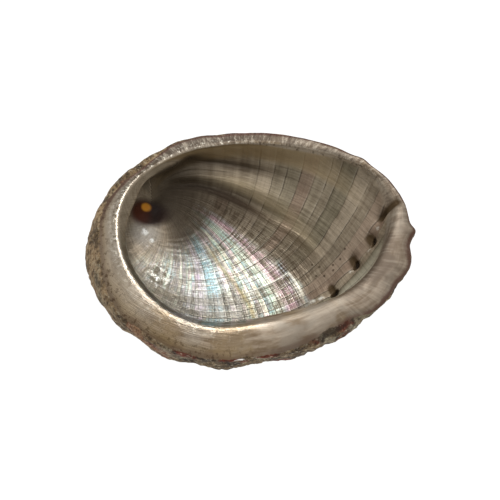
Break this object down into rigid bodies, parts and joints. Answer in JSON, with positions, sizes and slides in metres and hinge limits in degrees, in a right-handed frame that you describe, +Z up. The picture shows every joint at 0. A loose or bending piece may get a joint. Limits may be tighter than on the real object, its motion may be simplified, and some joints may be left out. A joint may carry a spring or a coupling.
{
  "type": "abalone shell",
  "caption": "Ear-shaped abalone shell lying on its back, with a pearly bowl, a broad inner lip and a row of breathing holes.",
  "frame": {"origin": "middle of the shell's outline, on the surface it rests on", "axes": "+X towards the front end with the open breathing holes, +Y towards the thin outer lip, +Z up out of the open bowl"},
  "size_m": [0.1403, 0.1071, 0.0405],
  "materials": {
    "nacre": "polished mother-of-pearl inside, rough red-brown crust with pale lime growth outside"
  },
  "bodies": {
    "root": {"abalone_shell": "nacre"}
  },
  "joints": []
}
